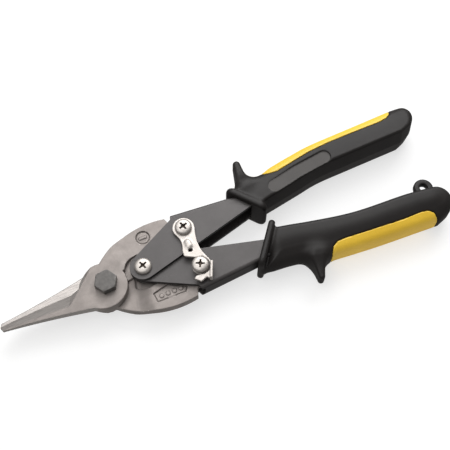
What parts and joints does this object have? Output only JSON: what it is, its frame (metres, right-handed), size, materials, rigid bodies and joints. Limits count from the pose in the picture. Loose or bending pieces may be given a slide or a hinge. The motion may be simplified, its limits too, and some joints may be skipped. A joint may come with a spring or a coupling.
{
  "type": "aviation snips",
  "caption": "Compound-action sheet metal shears with two jaws, channel handles on pivot posts, a hook latch, padded grips with finger guards and a hanging ring.",
  "frame": {"origin": "the main pivot's axis, at the flat end of its nut and bolt, which is the tool's lowest level when it lies on its back", "axes": "+X runs from the blade tips to the ends of the handles, +Y towards the upper handle, +Z out of the face that carries the latch"},
  "size_m": [0.2604, 0.0856, 0.0233],
  "materials": {
    "jaw_steel": "bead blasted, with a ground bevel",
    "dark_oxide": "black oxide",
    "handle_paint": "semi-matt charcoal paint",
    "nickel": "bright nickel plate",
    "spring_wire": "drawn wire",
    "grip_rubber": "fine matt grain",
    "insert_rubber": "fine matt grain"
  },
  "bodies": {
    "lower_handle": {"lower_arm": "handle_paint", "lower_grip": "grip_rubber", "lower_grip_insert": "insert_rubber", "handle_pivot_screw": "nickel", "handle_pivot_post": "nickel", "lower_jaw_screw": "nickel", "lower_jaw_post": "nickel", "latch_boss": "nickel", "lower_jaw_spacers": "nickel", "return_spring": "spring_wire"},
    "upper_handle": {"upper_arm": "handle_paint", "upper_grip": "grip_rubber", "upper_grip_insert": "insert_rubber", "upper_jaw_screw": "nickel", "upper_jaw_post": "nickel", "upper_jaw_spacers": "nickel", "latch_spring_washer": "nickel"},
    "latch_plate": {"latch": "nickel"},
    "rear_blade": {"rear_jaw": "jaw_steel", "main_pivot_bolt": "dark_oxide", "main_pivot_washer": "dark_oxide", "main_pivot_nut": "dark_oxide"},
    "front_blade": {"front_jaw": "jaw_steel"}
  },
  "joints": [
    {"name": "handle_pivot", "type": "hinge", "parent": "lower_handle", "child": "upper_handle", "pos_m": [0.021, 0, 0.011], "axis": [0, 0, 1], "range_deg": [0, 36]},
    {"name": "latch_pivot", "type": "hinge", "parent": "upper_handle", "child": "latch_plate", "pos_m": [0.049, 0.012, 0.02], "axis": [0, 0, 1], "range_deg": [0, 90]},
    {"name": "rear_blade_pivot", "type": "hinge", "parent": "lower_handle", "child": "rear_blade", "pos_m": [0.049, -0.012, 0.011], "axis": [0, 0, 1], "range_deg": [0, 8.2]},
    {"name": "main_pivot", "type": "hinge", "parent": "rear_blade", "child": "front_blade", "pos_m": [0, 0, 0.011], "axis": [0, 0, 1], "range_deg": [0, 19.7]}
  ],
  "couplings": [
    {"joint": "latch_pivot", "follows": "handle_pivot", "ratio": 2.5},
    {"joint": "rear_blade_pivot", "follows": "handle_pivot", "ratio": 0.2275},
    {"joint": "main_pivot", "follows": "handle_pivot", "ratio": 0.545}
  ]
}
